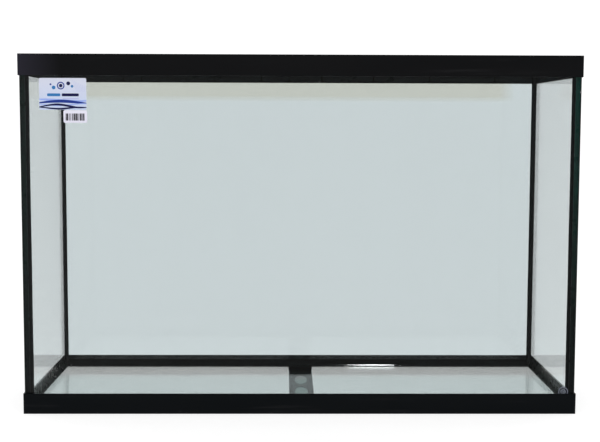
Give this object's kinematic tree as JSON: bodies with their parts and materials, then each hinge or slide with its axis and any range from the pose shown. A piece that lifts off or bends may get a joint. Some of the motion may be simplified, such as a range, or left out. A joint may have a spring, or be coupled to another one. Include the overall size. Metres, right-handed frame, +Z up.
{
  "type": "glass aquarium tank",
  "caption": "Rectangular open-topped glass aquarium tank with black moulded top and base frames, black silicone seams and a sunk ledge for a lid.",
  "frame": {"origin": "under the middle of the tank, on the surface that the base frame stands on", "axes": "+X along the long side to the right seen from the front, -Y out of the front pane, +Z up"},
  "size_m": [0.9194, 0.3206, 0.593],
  "materials": {
    "clear_glass": "polished float glass, faint green tint",
    "black_plastic": "satin moulded black",
    "black_silicone": "tooled, glossy black",
    "label_paper": "coated paper, pale lavender with a plain wave pattern",
    "sticker_paper": "white paper with plain black bars"
  },
  "bodies": {
    "root": {"front_pane": "clear_glass", "rear_pane": "clear_glass", "left_pane": "clear_glass", "right_pane": "clear_glass", "floor_pane": "clear_glass", "top_frame": "black_plastic", "base_frame": "black_plastic", "front_left_corner_seam": "black_silicone", "front_right_corner_seam": "black_silicone", "rear_left_corner_seam": "black_silicone", "rear_right_corner_seam": "black_silicone", "front_floor_seam": "black_silicone", "rear_floor_seam": "black_silicone", "left_floor_seam": "black_silicone", "right_floor_seam": "black_silicone", "front_left_corner_bead": "black_silicone", "front_right_corner_bead": "black_silicone", "rear_left_corner_bead": "black_silicone", "rear_right_corner_bead": "black_silicone", "front_floor_bead": "black_silicone", "rear_floor_bead": "black_silicone", "left_floor_bead": "black_silicone", "right_floor_bead": "black_silicone", "top_frame_front_sealant": "black_silicone", "top_frame_rear_sealant": "black_silicone", "top_frame_left_sealant": "black_silicone", "top_frame_right_sealant": "black_silicone", "base_frame_front_sealant": "black_silicone", "base_frame_rear_sealant": "black_silicone", "base_frame_left_sealant": "black_silicone", "base_frame_right_sealant": "black_silicone", "front_label": "label_paper", "barcode_sticker": "sticker_paper"}
  },
  "joints": []
}
